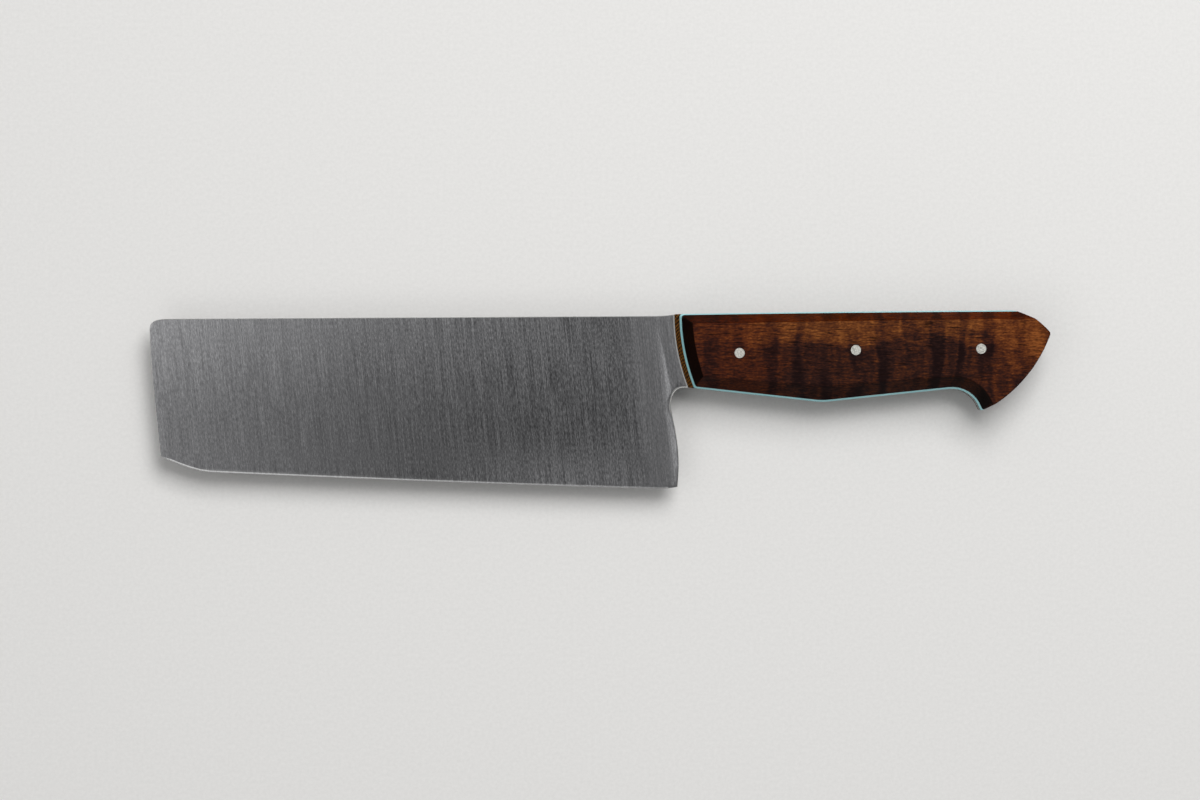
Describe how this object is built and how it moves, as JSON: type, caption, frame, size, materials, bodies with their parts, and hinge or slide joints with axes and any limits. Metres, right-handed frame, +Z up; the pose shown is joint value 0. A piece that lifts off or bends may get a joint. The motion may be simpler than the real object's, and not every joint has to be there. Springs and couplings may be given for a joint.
{
  "type": "nakiri knife",
  "caption": "Nakiri vegetable knife: tall rectangular brushed-steel blade with a radiused plunge and choil, full tang, and a faceted wooden handle with laminate liners and metal pins.",
  "frame": {"origin": "centre of the bounding box in plan, on the plane that the knife lies on", "axes": "+X from the tip to the butt, +Y from the cutting edge to the spine, +Z up through the thickness, from the right face to the left face"},
  "size_m": [0.2796, 0.0556, 0.0194],
  "materials": {
    "blade_steel": "belt-finished satin, scratches running from spine to edge",
    "weave_laminate": "matt, coarse woven fibre in resin",
    "teal_laminate": "satin, fine glass cloth in resin",
    "figured_wood": "oiled satin, dark wood with curly figure",
    "pin_metal": "sanded flush, pale satin"
  },
  "bodies": {
    "root": {"blade": "blade_steel", "inner_liner_left": "weave_laminate", "inner_liner_right": "weave_laminate", "outer_liner_left": "teal_laminate", "outer_liner_right": "teal_laminate", "scale_left": "figured_wood", "scale_right": "figured_wood", "pin_front": "pin_metal", "pin_middle": "pin_metal", "pin_rear": "pin_metal"}
  },
  "joints": []
}
